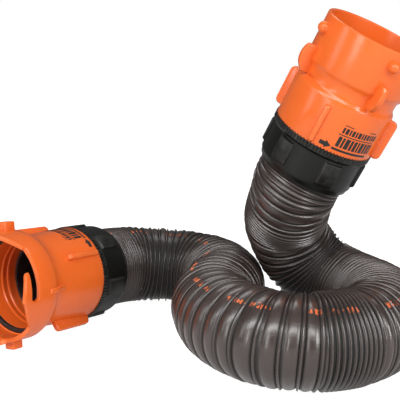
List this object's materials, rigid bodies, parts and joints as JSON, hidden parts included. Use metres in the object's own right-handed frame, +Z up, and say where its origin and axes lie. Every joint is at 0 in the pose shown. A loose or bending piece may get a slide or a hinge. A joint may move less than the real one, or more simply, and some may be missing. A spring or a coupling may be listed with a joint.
{
  "type": "sewer hose kit",
  "caption": "Wire-reinforced corrugated drain hose in a loop, with a swivelling bayonet fitting on one end and a swivelling lug fitting on the other.",
  "frame": {"origin": "centre of the footprint, on the floor that the hose lies on", "axes": "+Z up; +X to the viewer's right; the front of the loop and the bayonet mouth face -Y"},
  "size_m": [0.476, 0.3483, 0.335],
  "materials": {
    "hose_skin": "satin",
    "wire": "drawn wire",
    "collar": "satin",
    "spigot": "satin",
    "seal": "matte",
    "spring_steel": "satin",
    "orange_plastic": "gloss",
    "print_ink": "printed ink",
    "mark_ink": "printed ink"
  },
  "bodies": {
    "root": {"hose": "hose_skin", "hose_wire": "wire", "bayonet_collar": "collar", "bayonet_spigot": "spigot", "bayonet_o_ring": "seal", "bayonet_retainer": "spring_steel", "lug_collar": "collar", "lug_spigot": "spigot", "lug_o_ring": "seal", "lug_retainer": "spring_steel"},
    "bayonet": {"bayonet_body": "orange_plastic", "bayonet_gasket": "seal"},
    "lug": {"lug_body": "orange_plastic"}
  },
  "joints": [
    {"name": "bayonet_swivel", "type": "hinge", "parent": "root", "child": "bayonet", "pos_m": [-0.13061, 0.04014, 0.05999], "axis": [-0.5722, -0.8172, 0.0698], "continuous": true},
    {"name": "lug_swivel", "type": "hinge", "parent": "root", "child": "lug", "pos_m": [0.13917, -0.01712, 0.22352], "axis": [0.4034, -0.2824, 0.8704], "continuous": true}
  ]
}
